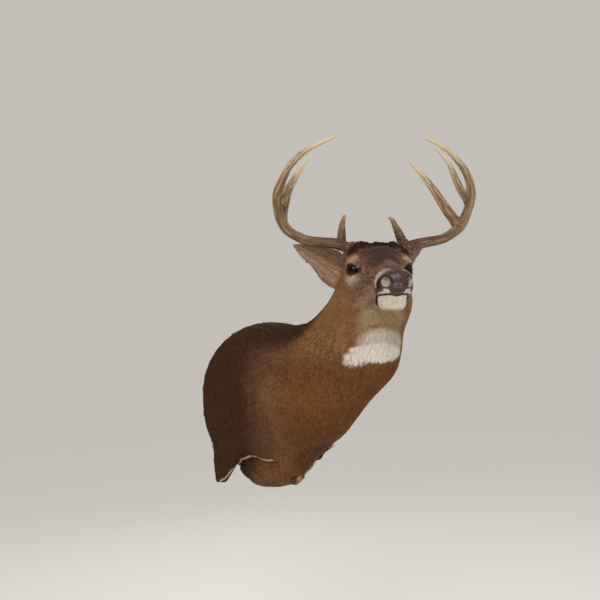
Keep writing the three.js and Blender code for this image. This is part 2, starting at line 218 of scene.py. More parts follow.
# The head's own axes: to the deer's left, to the nose and up
head_turn, head_drop, head_lean = radians(24.5), radians(2.7), radians(2.2)
head_axes = np.array(Matrix.Rotation(-head_turn, 3, "Z") @ Matrix.Rotation(head_drop, 3, "X")
                     @ Matrix.Rotation(head_lean, 3, "Y") @ Matrix.Diagonal((1, -1, 1)))
_, noseward, upward = head_axes.T


def in_head(points):
    """Places in the head's own frame, in millimetres from midway between the eyes."""
    return (np.asarray(points) - head_middle) @ head_axes / mm


def from_head(spot):
    return head_middle + head_axes @ np.asarray(spot) * mm


def step(value, low, high):
    """0 below low and 1 above high, with a soft step between; low may be the greater."""
    t = np.clip((value - low) / (high - low), 0, 1)
    return t * t * (3 - 2 * t)


def hump(value, middle, width):
    """1 at the middle, and less to each side of it."""
    return np.exp(-((value - middle) / width) ** 2)


def blob(points, middle, size):
    """How far each point lies from a middle, where 1 is on the ellipsoid of that size."""
    return np.linalg.norm((points - np.array(middle)) / np.array(size), axis=1)


def unit(vectors):
    return vectors / np.maximum(np.linalg.norm(vectors, axis=-1, keepdims=True), 1e-9)


def read(collection, name, width, kind=np.float32):
    values = np.empty(len(collection) * width, kind)
    collection.foreach_get(name, values)
    return values.reshape(-1, width) if width > 1 else values


def new_object(name, data):
    made = bpy.data.objects.new(name, data)
    bpy.context.scene.collection.objects.link(made)
    return made


def mesh_from(net, name):
    """A new mesh from a bmesh, which is then let go."""
    made = bpy.data.meshes.new(name)
    net.to_mesh(made)
    net.free()
    return made


def remeshed(mesh, voxel):
    """The outer surface of everything in a mesh, as one even net."""
    held = new_object("held", mesh)
    net = held.modifiers.new("net", "REMESH")
    net.mode = "VOXEL"
    net.voxel_size = voxel
    made = bpy.data.meshes.new_from_object(held.evaluated_get(bpy.context.evaluated_depsgraph_get()))
    bpy.data.objects.remove(held)
    return made


def relaxed(points, edges, rounds, share):
    """Evens out a surface: each round moves a point in towards its neighbours and back out."""
    count = np.bincount(edges.ravel(), minlength=len(points))
    share = np.broadcast_to(share, len(points))
    for turn in range(rounds):
        middle = np.stack([
            np.bincount(edges[:, 0], points[edges[:, 1], axis], len(points))
            + np.bincount(edges[:, 1], points[edges[:, 0], axis], len(points))
            for axis in range(points.shape[1])], 1) / count[:, None]
        way = -1.02 if turn % 2 else 1.0
        points = points + (share * way)[:, None] * (middle - points)
    return points


def net_of(mesh):
    """The points of a mesh, and the two ends of each edge."""
    return read(mesh.vertices, "co", 3).astype(float), read(mesh.edges, "vertices", 2, np.int32)


def put(mesh, at):
    """Puts the points of a mesh at these places, and gives the way it faces at each."""
    mesh.vertices.foreach_set("co", at.astype(np.float32).ravel())
    mesh.update()
    return read(mesh.vertex_normals, "vector", 3).astype(float)


def new_piece(name, mesh, material):
    mesh.shade_smooth()
    piece = new_object(name, mesh)
    dress(piece, material)
    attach(piece, "root")
    return piece


flesh = ["shoulders", "neck_lower", "neck_upper", "head", "lower_jaw", "ear_left", "ear_right"]
ear_numbers = {name: flesh.index(name) for name in ("ear_left", "ear_right")}
antler_foot, foot_radius = (52, -37, 38), 21.5 * mm
body_net, behind_hide = 2.5 * mm, 1.5 * mm
coat_depth, less_on_head, less_on_nose, depth_on_ear = 3.2, 1.6, 0.8, 0.3

# The form: the flesh and the eyes in one net, with a ball where each antler stands
form = bmesh.new()
for node in flesh + ["eye_left", "eye_right"]:
    form.from_mesh(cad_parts[node].data)
for side in (1, -1):
    plug_at = from_head((side * antler_foot[0], *antler_foot[1:]))
    bmesh.ops.create_icosphere(form, subdivisions=3, radius=foot_radius,
                               matrix=Matrix.Translation(plug_at))
hide = remeshed(mesh_from(form, "form"), body_net)

# Which solid each point of the hide belongs to
corners, faces, owners = [], [], []
for node in flesh:
    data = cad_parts[node].data
    faces += [[v + len(corners) for v in face.vertices] for face in data.polygons]
    owners += [node] * len(data.polygons)
    corners += [v.co.copy() for v in data.vertices]
solid_tree = BVHTree.FromPolygons(corners, faces)


def owner_of(points):
    """The number of the solid that each point lies on, and whether that is an ear."""
    owner = np.array([flesh.index(owners[solid_tree.find_nearest(Vector(p))[2]]) for p in points])
    return owner, np.isin(owner, list(ear_numbers.values()))


def lobe_at(points):
    """1 on the two lobes that hang at the hide's lower corners, and 0 elsewhere."""
    return step(points[:, 2] / mm, -118, -135) * step(np.abs(points[:, 0]) / mm, 70, 84)


points, edges = net_of(hide)
owner, on_ear = owner_of(points)
points = relaxed(points, edges, 60, np.where(on_ear, 0.25, 0.6 - 0.4 * lobe_at(points)))
put(hide, points)

# The face gets a finer net
net = bmesh.new()
net.from_mesh(hide)
spots = in_head(points)
fine = (spots[:, 1] > -62) & (np.abs(spots[:, 0]) < 95) & (spots[:, 2] > -110) & ~on_ear
near_face = [e for e in net.edges if fine[e.verts[0].index] and fine[e.verts[1].index]]
bmesh.ops.subdivide_edges(net, edges=near_face, cuts=1, use_grid_fill=True)
net.to_mesh(hide)
net.free()

points, edges = net_of(hide)
owner, on_ear = owner_of(points)
headness = step(in_head(points) @ np.array((0, 0.75, 0.66)), -120, -60)
points = relaxed(points, edges, 20, np.where(on_ear, 0.1, 0.3 + 0.3 * headness))
normals = put(hide, points)

# The coat's depth: deep on the body, thin on the face, thinner on the ears, none by the eyes
mirrored = in_head(points)
mirrored[:, 0] = np.abs(mirrored[:, 0])
depth = coat_depth - less_on_head * headness
depth = depth - less_on_nose * step(mirrored[:, 1], -20, 120) * headness
depth = np.where(on_ear, depth_on_ear, depth) * (1 - 0.7 * lobe_at(points))
depth *= step(blob(mirrored, (57, -6, 0), (22, 28, 26)), 0.8, 1.5)
points = points - normals * (depth * mm)[:, None]
points[:, 1] = np.minimum(points[:, 1], -behind_hide)
points = relaxed(points, edges, 6, 0.3)


# ---------------------------------------------------------------- the face
# The hide of the face is tucked and modelled before it dries: lids drawn round the glass eyes,
# nostrils turned in, the nose pad and the black lips tucked along the mouth.

spots = in_head(points)
side_of = np.where(spots[:, 0] > 0, 1.0, -1.0)
mirrored = spots.copy()
mirrored[:, 0] *= side_of

# Lids: a leaf-shaped opening over the ball of the eye, given by its height each way from a line
# between the corners of the eye, in degrees about the ball's middle
eye_spot = in_head(eye_middles[0])
ball = eye_radius / mm
look = unit(np.array((0.74, 0.67, 0.03)))
to_nose = np.array((0, 1, -0.10))
nose_way = unit(to_nose - look * (look @ to_nose))
lid_up = np.cross(look, nose_way)
lid_up = lid_up * np.sign(lid_up[2])
half_long, half_high, half_low = 66.0, 38.0, 33.0
lid_thick, lid_reach, lid_tuck = 1.8, 11, 3.0
upper_crease, lower_crease, lid_edge = 1.1, 0.6, 0.6

from_ball = mirrored - eye_spot
radius_now = np.linalg.norm(from_ball, axis=1)
heading = from_ball / radius_now[:, None]
outward = heading @ look
along_eye = np.degrees(np.arctan2(heading @ nose_way, outward))
over_eye = np.degrees(np.arcsin(np.clip(heading @ lid_up, -1, 1)))
leaf = np.sqrt(np.clip(1 - (along_eye / half_long) ** 2, 0, 1))
inside_eye = np.minimum(half_high * leaf - over_eye, half_low * leaf + over_eye)
past_corner = half_long - np.hypot(np.maximum(np.abs(along_eye), half_long), over_eye)
inside_eye = np.where(leaf > 0, inside_eye, past_corner)
lid_gap = np.where(outward > -0.3, -np.radians(inside_eye) * ball, 60.0)
lid_line = ball + lid_thick
natural = np.maximum(radius_now, lid_line - 0.5)
crease = upper_crease * hump(lid_gap, 7, 1.8) * step(over_eye, 0, 14)
crease += lower_crease * hump(lid_gap, 6, 2) * step(-over_eye, 4, 18)
lid_shape = lid_line + (natural - lid_line) * step(lid_gap, 2, lid_reach) - crease
lid_shape = lid_shape + lid_edge * hump(lid_gap, 1.4, 1.2)
under_lid = ball - lid_tuck + (lid_thick + lid_tuck) * step(lid_gap, -0.9, 0.6)
lid_shape = np.where(lid_gap < 0.6, under_lid, lid_shape)
near_eye = step(outward, -0.3, -0.05) * step(radius_now, 46, 36)
mirrored = mirrored + heading * (near_eye * (lid_shape - radius_now))[:, None]

# A slit runs from the inner corner of the eye towards the nose
slit_deep = 1.8
x, y, z = mirrored.T
slit = hump(z + 4 + (y - 12) * 0.16, 0, 2) * step(y, 9, 14) * step(y, 34, 24) * step(x, 20, 30)
mirrored[:, 0] -= slit_deep * slit

# The nose: a pad with a crisp edge, two deep nostrils and a groove down to the lip
rim_deep, nostril_deep, wing_high, pad_deep, philtrum_deep = 2.2, 7, 1.2, 0.9, 1.2
pad = np.maximum.reduce([step(blob(mirrored, (0, 195, -34), (40, 27, 20.2)), 1.05, 0.95),
                         step(blob(mirrored, (0, 192, -50), (17, 14, 12)), 1.08, 0.9),
                         step(blob(mirrored, (32, 181, -41), (10, 15, 13)), 1.1, 0.9)])
wing = blob(mirrored, (21.2, 195, -37.3), (9.6, 13, 10.2))
lower_outer = (x - 20.8) * 0.5 - (z + 37.3) * 0.85
around_wing = hump(wing, 1.16, 0.17) * step(x, 4, 9) * step(lower_outer, 5, -3)
opening = np.minimum(blob(mirrored, (33.5, 179, -41), (7, 10, 10.5)),
                     blob(mirrored, (32, 187, -35.5), (8, 13, 6)))
opening = step(opening, 1.15, 0.6) * step(wing, 1.0, 1.25)
# The nostrils and the groove round each wing, which the hide's colour darkens: painted shade
hollow = np.maximum(around_wing * 0.8, opening)
philtrum = hump(x, 0, 1.5) * step(z, -40, -48) * step(y, 170, 180)
inward = unit(np.array((-0.35, -0.9, -0.1)))
raised = step(wing, 1.0, 0.4) * wing_high
sunk = around_wing * rim_deep + opening * nostril_deep - raised - pad * pad_deep
mirrored += inward * sunk[:, None]
mirrored[:, 1] -= philtrum * philtrum_deep

# The chin is square across below the lips
squareness, chin_middle, chin_wide, chin_high = 3.6, 72, 27, 24
low_jaw = step(y, 84, 104) * step(y, 200, 180) * step(z, -62, -68)
across_jaw = np.clip(x / chin_wide, 0, 1.3)
below_jaw = np.clip(-(z + chin_middle) / chin_high, 0, 1.3)
rounded = np.hypot(across_jaw, below_jaw)
squared = (across_jaw ** squareness + below_jaw ** squareness + 1e-9) ** (1 / squareness)
swelling = np.clip(rounded / squared, 1, 1.2) - 1
mirrored += (np.stack([x, np.zeros(len(x)), z + chin_middle], 1)
             * (swelling * low_jaw * 0.8)[:, None])
x, y, z = mirrored.T

# The mouth: a groove from the front of the lips back to their corners
lips_high, mouth_deep = 0.9, 3.2
mouth_line = -60.3 - 4.5 * np.clip((185 - y) / 67, 0, 1) - 2.6 * hump(x, 0, 8)
lip = np.abs(z - mouth_line)
mouth_there = step(y, 112, 124)
groove = hump(lip, 0, 1.9) * mouth_there
lips_out = hump(lip, 5.5, 2.6) * mouth_there
facing = unit(np.stack([x, np.where(y > 165, (y - 165) * 1.6, 0), np.zeros(len(x))], 1))
mirrored += facing * (lips_out * lips_high - groove * mouth_deep)[:, None]

mirrored[:, 0] *= side_of
points = head_middle + mirrored @ head_axes.T * mm
lid_band = step(lid_gap, 4.0, 2.8) * near_eye
lip_band = step(lip, 3.0, 1.8) * mouth_there
bare = np.maximum.reduce([pad, lid_band, lip_band, step(slit, 0.35, 0.7)])
points = relaxed(points, edges, 2, 0.25)

# The hide's cut edge: a turned hem of bare leather that runs from each lobe's tip up and across
# the brisket, with the flap of the brisket tucked in behind it
hem_line = np.array([(-149, -18, -182), (-141, -31, -174), (-135, -55, -155), (-130, -68, -141),
                     (-112, -66, -130), (-97, -5, -147), (-109, -66, -127), (-106, -86, -122),
                     (-104, -103, -118), (-95, -117, -120), (-83, -125, -125), (-75, -135, -127),
                     (-66, -148, -124)]) * mm
hem_reach, hem_high, tucked_deep, far_off = 16, 2.6, 5.0, 99.0
normals = put(hide, points)
hem_gap, past_hem = np.full(len(points), far_off), np.zeros(len(points))
for side in (1, -1):
    line = hem_line * (side, 1, 1)
    for start, end in zip(line, line[1:]):
        run = end - start
        along_hem = np.clip(((points - start) @ run) / (run @ run), 0, 1)
        off = (points - start - along_hem[:, None] * run) / mm
        apart = np.linalg.norm(off, axis=1)
        gap = np.linalg.norm(off - normals * (off * normals).sum(1)[:, None], axis=1)
        gap = gap + np.maximum(apart - hem_reach, 0) * 4
        closer = gap < hem_gap
        hem_gap = np.where(closer, gap, hem_gap)
        past_hem = np.where(closer, -off[:, 2], past_hem)
hem = step(hem_gap, 5.5, 2.6)
hem_shade = hump(hem_gap, 8, 4.5) * step(past_hem, 1, 4)
points = points + normals * (hem * hem_high - hem_shade * tucked_deep)[:, None] * mm
normals = put(hide, points)

# The ears: the side, the root, the tip, and the way each opens
ear_long = 158
ear_facts = {
    "ear_right": (-1, (60, -66, -9), (189, -121, 72), (0.30, 0.86, -0.36)),
    "ear_left": (1, (66, -62, 20), (146, -200, 84), (0.84, 0.34, -0.30)),
}


def ear_frame(name):
    """Where an ear starts, and its directions: along to the tip, out of its opening and across."""
    side, *spots_here = ear_facts[name]
    root, tip, opens = (np.array(spot) * (side, 1, 1) for spot in spots_here)
    start = from_head(root)
    way = unit(from_head(tip) - start)
    mouth = head_axes @ opens
    mouth = unit(mouth - way * (mouth @ way))
    return start, way, mouth, np.cross(way, mouth)


inner_ear, up_ear, across_ear = (np.zeros(len(points)) for _ in range(3))
for name, number in ear_numbers.items():
    start, way, mouth, across = ear_frame(name)
    mine = owner == number
    rel = (points[mine] - start) / mm
    inner_ear[mine] = step(normals[mine] @ mouth, -0.1, 0.3)
    up_ear[mine] = np.clip(rel @ way / ear_long, 0, 1)
    across_ear[mine] = -ear_facts[name][0] * (rel @ across)


def remember(mesh, name, values):
    """Keeps a value for each point, where the materials can read it."""
    kind, field = ("FLOAT_VECTOR", "vector") if values.ndim > 1 else ("FLOAT", "value")
    kept = mesh.attributes.new(name, kind, "POINT").data
    kept.foreach_set(field, values.astype(np.float32).ravel())


spots = in_head(points)
folded_spots = spots.copy()
folded_spots[:, 0] = np.abs(spots[:, 0])
# Each nostril wing is pale, and darker towards its upper inner side: painted shade
wing_pale_shaded_above = step(wing, 1.08, 0.8) * (0.12 + 0.88 * step(lower_outer, -8, 6))
wing_pale_shaded_above *= np.where(spots[:, 0] > 0, step(spots[:, 0], 19.5, 23.0), 1.0)
hide_facts = {
    "place": points / mm, "head_place": folded_spots, "left": spots[:, 0], "bare": bare,
    "lid_gap": np.clip(lid_gap + 60 * (1 - near_eye), -5, 60), "nostril_shade": hollow,
    "wing": wing_pale_shaded_above, "pad": pad, "ear": on_ear * step(up_ear, 0.02, 0.12),
    "inner": inner_ear, "up_ear": up_ear, "across_ear": across_ear,
    "hem": hem, "hem_shade": hem_shade * 0.8,
}
for name, values in hide_facts.items():
    remember(hide, name, values)


# ---------------------------------------------------------------- the eyes
# Glass balls, nearly black, painted behind with a deep brown iris and a level oval pupil, and
# set under the lids.

pupil_radius, iris_radius = 7.1, 13.5


def glass_eye():
    made, paper, feed = new_material("glass_eye", Roughness=0.06, IOR=1.45, Specular_IOR_Level=0.16)
    look_at = paper.attribute("look", "Vector")
    flat = look_at.stretched(1.0, 1.0, 0.0)
    streaks = look_at.stretched(1.0, 1.0, 0.1).grain(1.2, 4)
    pupil = look_at.stretched(0.75, 1.25, 0.0).vector("LENGTH", out=1)
    pupil = pupil.rising(pupil_radius + 0.5, pupil_radius - 0.5)
    iris = flat.vector("LENGTH", out=1).rising(iris_radius + 1, iris_radius - 1)
    tone = (streaks * 0.6).mixed("120a06", "22140c")
    feed(Base_Color=pupil.mixed(iris.mixed("080504", tone), "04060a"))
    return made


eye_material = glass_eye()
clearance, cornea_high, cornea_wide = 0.1 * mm, 0.035, 9
for name, side, middle in zip(("eye_left", "eye_right"), (1, -1), eye_middles):
    ball_mesh = bmesh.new()
    bmesh.ops.create_uvsphere(ball_mesh, u_segments=64, v_segments=40, radius=eye_radius - clearance)
    mesh = mesh_from(ball_mesh, name)
    shape = read(mesh.vertices, "co", 3).astype(float)
    turned = np.stack([nose_way, lid_up, look]) * np.array((side, 1, 1))
    seen = shape @ head_axes @ turned.T / mm
    swell = 1 + cornea_high * hump(np.hypot(seen[:, 0], seen[:, 1]), 0, cornea_wide) * (seen[:, 2] > 0)
    shape = shape * swell[:, None] + np.array(middle)
    put(mesh, shape)
    remember(mesh, "look", seen)
    eye = new_piece("glass_" + name, mesh, eye_material)
    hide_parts(name)


# ---------------------------------------------------------------- the hide's colours
# Winter coat: warm brown on the chest and paler up the neck, dark along its top, and darker by the wall,
# partly from its own dark hair and partly from painted shade; white on the chin and throat, with a dusky
# nose bridge and cream rings round the eyes.

def hair_colour(paper):
    """The colour of the coat, for the hide and for the tufts rooted in it, by millimetres."""
    place = paper.attribute("place", "Vector")
    face = paper.attribute("head_place", "Vector")
    combed = face.stretched(1, 0.22, 1)

    def push(at, scale, detail):
        """Small pushes to and fro, which fray the edges of the patches."""
        return at.grain(scale, detail, 0.5, 1).vector("SUBTRACT", (0.5, 0.5, 0.5))

    stray, wisps = push(place, 0.06, 4), push(combed, 0.28, 3)
    frayed = face.vector("ADD", stray.times(14)).vector("ADD", wisps.times(12))
    frayed_place = place.vector("ADD", stray.times(20))

    def patch(middle, size, soft=0.3, among=frayed):
        return among.far_from(middle, size).rising(1 + soft, 1 - soft)

    def painted(tone, *patches):
        """Patches laid on a tone; each has a middle, a size, a softness, a strength and a colour."""
        for middle, size, soft, strength, code, *among in patches:
            tone = (patch(middle, size, soft, *among) * strength).mixed(tone, code)
        return tone

    # Shoulders, chest and neck, darker on top, and darker by the wall from dark hair and painted shade
    mottle = place.stretched(1, 1, 0.45).grain(0.05, 4)
    sideways, height = place.part(0), frayed_place.part(2)
    from_middle = height - 20
    forward = frayed_place.part(1) - from_middle * from_middle * 0.0034
    tone = (mottle.rising(0.45, 0.75) * 0.3).mixed("735036", "8c735c")
    tone = forward.rising(-215, -262).mixed(tone, "734a27")
    low_chest = forward.rising(-192, -262) * height.rising(30, -60)
    tone = (low_chest * 0.6).mixed(tone, "633e20")
    neck = height.rising(80, 140) * forward.rising(-200, -245)
    tone = neck.mixed(tone, "8c6542")
    neck_foot_shade = height.rising(30, 130) * forward.rising(-285, -235)
    tone = (neck_foot_shade * 0.55).mixed(tone, "4d3424")
    ruff = patch((40, -250, 115), (60, 70, 75), 0.6, frayed_place)
    dark_hairs = place.stretched(1, 1, 0.3).grain(0.13, 4).rising(0.44, 0.62)
    tone = (ruff * dark_hairs * 0.5).mixed(tone, "4a3024")
    over_top = height.rising(112, 158) * frayed_place.part(1).rising(-226, -186)
    tone = over_top.mixed(tone, "3a2416")
    # The lobes and the hide by the wall are darker: partly the coat's own dark hair, partly painted
    # shade
    lobes = height.rising(-96, -116) * (sideways.rising(-84, -96) | sideways.rising(84, 96))
    by_wall_dark_and_shaded = forward.rising(-228, -152) | lobes
    tone = by_wall_dark_and_shaded.mixed(tone, "432712")
    brisket = height.rising(-105, -140) * place.part(1).rising(-95, -112)
    tone = (brisket * 0.6).mixed(tone, "7a5234")
    tone = (mottle.rising(0.5, 0.3) * 0.25).mixed(tone, "3d2616")
    tone = painted(tone, ((-13, -147, -167), (8, 14, 9), 0.5, 0.85, "32190d", place),
                   ((6, -139, -172), (6, 14, 7), 0.6, 0.8, "cdb9a2", place))

    # Head: brown cheeks and sides, a reddish brow and a dusky forehead under the dark crown
    on_head = patch((0, 55, -10), (92, 158, 98), 0.2)
    tone = on_head.mixed(tone, "86614a")
    tone = painted(tone, ((60, -52, -20), (40, 60, 60), 0.5, 0.7, "916d4f"),
                   ((40, 96, -20), (20, 46, 32), 0.6, 0.4, "5d4433"),
                   ((40, -10, 44), (34, 36, 17), 0.4, 0.8, "64412e"),
                   ((0, 12, 46), (40, 26, 12), 0.4, 0.8, "5d4235"))
    dusky = patch((0, 32, 30), (42, 38, 17), 0.4) | patch((0, 82, 12), (38, 60, 28), 0.4)
    tone = (dusky * 0.92).mixed(tone, "3a2e29")
    crown = frayed.part(2).rising(43.5, 48) * frayed.part(1).rising(26, 14)
    crown = crown * patch((0, -40, 50), (62, 80, 40)) | patch((50, -18, 42), (18, 20, 18))
    tone = crown.mixed(tone, "2e1b13")

    # Pale and dark wisps along the sides of the face
    side_face = patch((46, 72, -30), (26, 100, 46), 0.5)
    wispy = face.stretched(1, 0.16, 0.8).grain(0.22, 3).rising(0.5, 0.68)
    tone = (wispy * side_face * 0.6).mixed(tone, "b59e86")
    shady = face.stretched(1, 0.13, 0.8).grain(0.17, 3).rising(0.5, 0.36)
    tone = (shady * side_face * 0.55).mixed(tone, "4a3325")

    # Cream round the eyes, paler above and below them, and a dark inner corner
    ring = paper.attribute("lid_gap").rising(9.5, 5)
    tone = (ring * 0.7).mixed(tone, "b59b80")
    tone = painted(tone, ((56, 8, 23), (14, 15, 6), 0.6, 0.7, "c2aa8f"),
                   ((59, 4, -22), (20, 26, 10), 0.7, 0.75, "cbbca9"),
                   ((49, 22, -0.5), (11, 13, 5.2), 0.25, 0.95, "1a110d", face))

    # Muzzle: a pale band behind the pad, a dusky top with a painted highlight down the bridge, pale
    # cheeks and jaw, brown by the mouth
    tone = painted(tone, ((0, 184, -34), (47, 46, 33), 0.25, 0.9, "9d8972"),
                   ((33, 170, -25), (13, 26, 20), 0.4, 0.8, "d0bfa8"),
                   ((0, 174, -6), (18, 38, 13), 0.25, 0.9, "55433a"),
                   # a painted highlight: a pale streak down the ridge of the bridge
                   ((3, 130, 3), (8, 40, 12), 0.6, 0.35, "9a8674"),
                   ((33, 92, -55), (14, 48, 15), 0.6, 0.65, "ab937b"),
                   ((36, 24, -66), (16, 40, 15), 0.6, 0.65, "ae967f"),
                   ((33, 136, -46), (11, 15, 11), 0.5, 0.75, "6a4a34"),
                   ((34, 152, -56), (10, 22, 8), 0.4, 0.7, "5b4233", face))

    # White upper lip with a dark line over it, then the underside of the jaw, and a painted shadow under
    # the chin
    lip_white = (patch((22, 178, -58.5), (11.5, 22, 4.6), 0.2, face)
                 | patch((17.5, 189, -54), (8, 10, 8.5), 0.2, face))
    tone = lip_white.mixed(tone, "dcd3c6")
    tone = painted(tone, ((33, 177, -50.5), (8, 20, 4.6), 0.3, 0.9, "47301f", face),
                   ((0, 60, -96), (30, 110, 26), 0.25, 1, "b7a78f"),
                   # a painted shadow on the throat under the chin
                   ((6, 14, -89), (26, 24, 5.5), 0.4, 0.6, "5c4733", face))

    # Chin: white with painted shade towards its bottom, edged with a dark band, with a dark spot beside
    # the lip on the deer's left
    left, along_face, up_face = paper.attribute("left"), face.part(1), face.part(2)
    edge_dark = "2a1c15"
    past_chin_line = along_face - up_face * 2.1 - 272
    below_mouth = up_face.rising(-58.5, -60.5)
    dark_lip = past_chin_line.rising(-24, -19) * past_chin_line.rising(3, 0)
    dark_lip = dark_lip * up_face.rising(-97, -90) * below_mouth
    left_low = left.rising(4, 14) * up_face.rising(-72, -82)
    tone = (dark_lip * (1 - left_low * 0.85)).mixed(tone, edge_dark)
    on_chin = past_chin_line.rising(-1.5, 1.5) * along_face.rising(70, 84) * below_mouth
    lip_spot = up_face.rising(-88, -70) * past_chin_line.rising(60, 28)
    tone = on_chin.mixed(tone, lip_spot.mixed("b3a28c", "3b2b21"))
    to_left = left + up_face.rising(-80, -95) * 6
    chin_edge = to_left.rising(20, 22) * to_left.rising(31, 23.5) * along_face.rising(141, 150)
    tone = (on_chin * chin_edge * 0.95).mixed(tone, edge_dark)
    # The chin's white darkens towards its bottom: painted shade
    chin_white_shaded_below = up_face.rising(-83, -93).mixed("e4d9ca", "b3a184")
    tone = (on_chin * to_left.rising(22, 20)).mixed(tone, chin_white_shaded_below)

    # Ears: brown, paler along the inside of the lower edge, with a dark upper edge
    on_ear = paper.attribute("ear")
    over, out = paper.attribute("across_ear"), paper.attribute("up_ear")
    hairs = paper.node("CombineXYZ", {}, {0: over * 0.2, 1: out * 3.2}).grain(1, 3)
    inside = paper.attribute("inner") * on_ear
    tone = (on_ear * 0.9).mixed(tone, "7a5a44")
    tone = inside.mixed(tone, hairs.rising(0.4, 0.65).mixed("8a6a53", "ad9279"))
    lower_rim = (over + hairs * 24).rising(8, -2) * out.rising(0.3, 0.45)
    tone = (lower_rim * inside * 0.85).mixed(tone, "9b8a76")
    upper_rim = hairs.rising(0.44, 0.32) | (over + hairs * 16).rising(16, 25)
    tone = (upper_rim * inside * 0.55).mixed(tone, "5a4436")

    # Throat: tan folds above a white patch, which has a few dark flecks
    tone = painted(tone, ((142, -320, 184), (56, 66, 44), 0.25, 1, "a58e6e", frayed_place),
                   ((145, -320, 166), (62, 60, 10), 0.4, 0.7, "957a5a", frayed_place),
                   ((142, -315, 137), (62, 50, 29), 0.2, 0.9, "cdc2b2", frayed_place))
    white = (patch((129, -315, 115), (76, 50, 21), 0.1, frayed_place)
             | patch((73, -308, 108), (22, 40, 18), 0.25, frayed_place))
    tone = white.mixed(tone, "ded6ca")
    flecks = place.stretched(1, 1, 0.3).grain(0.22, 3).rising(0.6, 0.7)
    tone = (white * flecks * 0.45).mixed(tone, "6b5544")

    # Hairs lie together in fine strands
    body_strands = place.stretched(1, 0.5, 0.22).grain(0.35, 3)
    face_strands = (combed.grain(0.3, 4) - 0.5) * 1.9 + 0.5
    strands = paper.node("Mix", {"data_type": "FLOAT"}, {0: on_head, 2: body_strands, 3: face_strands})
    return tone.times(strands * 1.1 + 0.47)


def tanned_hide():
    made, paper, feed = new_material("tanned_hide", Specular_IOR_Level=0.3)
    place = paper.attribute("place", "Vector")
    face = paper.attribute("head_place", "Vector")
    bare_skin, on_pad = paper.attribute("bare"), paper.attribute("pad")
    hair = face.stretched(1, 0.16, 1).grain(0.9, 3)
    pebbles = paper.node("TexVoronoi", {}, {"Vector": place, "Scale": 0.36})
    tone = (hair.rising(0.35, 0.65) * 0.3).mixed(hair_colour(paper), "2b1d12")

    # The nose pad: pebbled, with pale painted highlights, brown at the lip, with pale wings carrying
    # painted shade at their tops, and deep nostrils darkened with painted shade
    skin = (pebbles.rising(0.15, 0.65) * 0.6).mixed("1d1110", "5c4540")
    # Pale patches over the pad: painted highlights
    pad_highlights = face.grain(0.09, 3).rising(0.5, 0.68) * on_pad
    skin = (pad_highlights * 0.5).mixed(skin, "8b7a7a")
    skin = (on_pad * face.part(2).rising(-46, -55) * 0.85).mixed(skin, "43261b")
    on_wing = face.grain(0.16, 2).rising(0.35, 0.65).mixed("978b7a", "c8b5a4")
    # The top of each wing is darker: painted shade
    wing_top_shade = face.far_from((22, 195, -33), (6, 14, 3.4)).rising(1.3, 0.6)
    on_wing = (wing_top_shade * 0.55).mixed(on_wing, "5f5848")
    skin = (paper.attribute("wing") * 0.95).mixed(skin, on_wing)
    # The nostrils and the groove round each wing are darkened: painted shade
    nostril_shade = paper.attribute("nostril_shade")
    skin = (nostril_shade.rising(0.25, 0.7) * 0.95).mixed(skin, "120a08")

    # The hem's bare leather, and the shade behind it
    tone = paper.attribute("hem").rising(0.35, 0.75).mixed(tone, "b08e6e")
    tone = paper.attribute("hem_shade").mixed(tone, "2a190f")
    feed(Base_Color=bare_skin.mixed(tone, skin),
         Roughness=on_pad * -0.55 + nostril_shade * 0.5 + 0.85,
         Normal=paper.bump(hair * (1 - bare_skin) + pebbles * bare_skin * 0.6, 0.0009, 0.6))
    return made


hide_piece = new_piece("hide", hide, tanned_hide())
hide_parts(*flesh)


# ---------------------------------------------------------------- the coat
# Hollow winter hair, lying back from the nose and down the neck and shoulders. It is made as
# slim solid tufts rooted in the hide: 5 mm long on the muzzle, 18 mm on the body and more below.

neck_top, neck_foot = np.array((172, -242, 238)) * mm, np.array((44, -128, 27)) * mm
down_neck = unit(neck_foot - neck_top)
neck_join, out_of_chest = np.array((20, -190, 60)) * mm, unit(np.array((0.25, -0.83, 0.50)))
trunkness = step((points - neck_join) @ out_of_chest, 40 * mm, -50 * mm)
beside = np.clip(np.abs(spots[:, 0]) / 60, 0, 1)[:, None]
head_lie = unit(-noseward - upward * beside * 0.35 + upward * 0.15 * (1 - beside))
trunk_lie = unit(np.array((0.0, 0.60, -0.80)))
lie = head_lie * headness[:, None] + down_neck * (1 - headness)[:, None]
lie = lie * (1 - trunkness)[:, None] + trunk_lie * trunkness[:, None]
for name, number in ear_numbers.items():
    start, way, mouth, across = ear_frame(name)
    mine = owner == number
    aside = np.clip((points[mine] - start) / mm @ across / 40, -0.6, 0.6) * inner_ear[mine]
    lie[mine] = way - across * aside[:, None]
lie = relaxed(lie, edges, 6, 0.5)
lie = unit(lie - normals * (lie * normals).sum(1)[:, None])

# Tufts to a square centimetre, and their length, width and height in millimetres: on the body,
# what the head, the muzzle and the throat add to that, and on the ears
hair_table = {
    "growth": (24, 34, 62, 14, 50),
    "length": (18, -7.5, -6, -5, 9),
    "width": (1.6, -0.45, -0.5, -0.3, 1.0),
    "height": (2.8, -1.1, -0.9, -0.9, 1.2),
}
muzzle = step(spots[:, 1], 30, 150) * headness
on_throat = step(blob(points / mm, (138, -315, 140), (75, 70, 60)), 1.2, 0.8)
hair = {}
for fact, (body, head, nose, throat, ear) in hair_table.items():
    off_ears = body + head * headness + nose * muzzle + throat * on_throat
    hair[fact] = np.where(on_ear, ear, off_ears)

